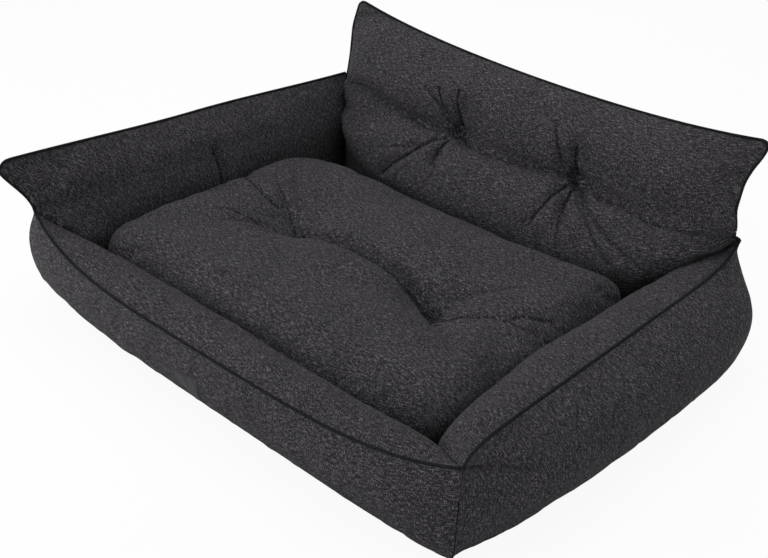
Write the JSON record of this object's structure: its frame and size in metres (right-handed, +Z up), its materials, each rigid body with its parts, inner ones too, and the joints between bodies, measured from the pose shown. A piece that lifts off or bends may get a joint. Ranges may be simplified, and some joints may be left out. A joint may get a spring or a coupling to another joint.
{
  "type": "dog sofa bed",
  "caption": "Rectangular dog sofa bed with low stuffed front and right walls, a taller left wall, a tufted folding back, piped rims and a loose tufted mattress with a zipped cover.",
  "frame": {"origin": "middle of the underside, midway between the corner seams", "axes": "+X to the right along the front wall, +Y from the front wall to the back, +Z up from the floor"},
  "size_m": [1.1162, 0.9374, 0.4013],
  "materials": {
    "cloth": "charcoal melange weave, matte",
    "filling": "white polyester fibre filling",
    "piping": "near-black piping cord, matte",
    "under_cloth": "black non-slip cloth with fine dots",
    "thread": "black button thread",
    "label": "bare dark imitation leather patch",
    "zip_tape": "black woven zip tape",
    "zip_coil": "black nylon coil",
    "zip_metal": "black lacquered zinc"
  },
  "bodies": {
    "tub": {"under_cloth": "under_cloth", "floor_pad": "cloth", "front_wall_cover": "cloth", "front_wall_fill": "filling", "front_rim_piping": "piping", "right_wall_cover": "cloth", "right_wall_fill": "filling", "right_rim_piping": "piping", "left_wall_cover": "cloth", "left_wall_fill": "filling", "left_rim_piping": "piping", "back_lower_cover": "cloth", "back_lower_fill": "filling", "back_tuft_ties": "thread", "back_corner_piping": "piping", "label_patch": "label"},
    "back_rest": {"back_upper_cover": "cloth", "back_upper_fill": "filling", "back_rim_piping": "piping"},
    "mattress": {"mattress_cover": "cloth", "mattress_fill": "filling", "mattress_tuft_ties": "thread", "mattress_zip_tape": "zip_tape", "mattress_zip_coil": "zip_coil", "mattress_zip_stops": "zip_metal"},
    "zip_slider": {"mattress_zip_slider": "zip_metal"},
    "zip_pull": {"mattress_zip_pull": "zip_metal"}
  },
  "joints": [
    {"name": "back_fold", "type": "hinge", "parent": "tub", "child": "back_rest", "pos_m": [0, 0.388, 0.228], "axis": [1, 0, 0], "range_deg": [-12, 20]},
    {"name": "mattress_lift", "type": "slide", "parent": "tub", "child": "mattress", "axis": [0, 0, 1], "range_m": [0, 0.35]},
    {"name": "zip_slide", "type": "slide", "parent": "mattress", "child": "zip_slider", "axis": [1, 0, 0], "range_m": [0, 0.417]},
    {"name": "pull_swing", "type": "hinge", "parent": "zip_slider", "child": "zip_pull", "pos_m": [-0.2403, 0.24035, 0.0407], "axis": [0, 0, 1], "range_deg": [0, 30]}
  ]
}
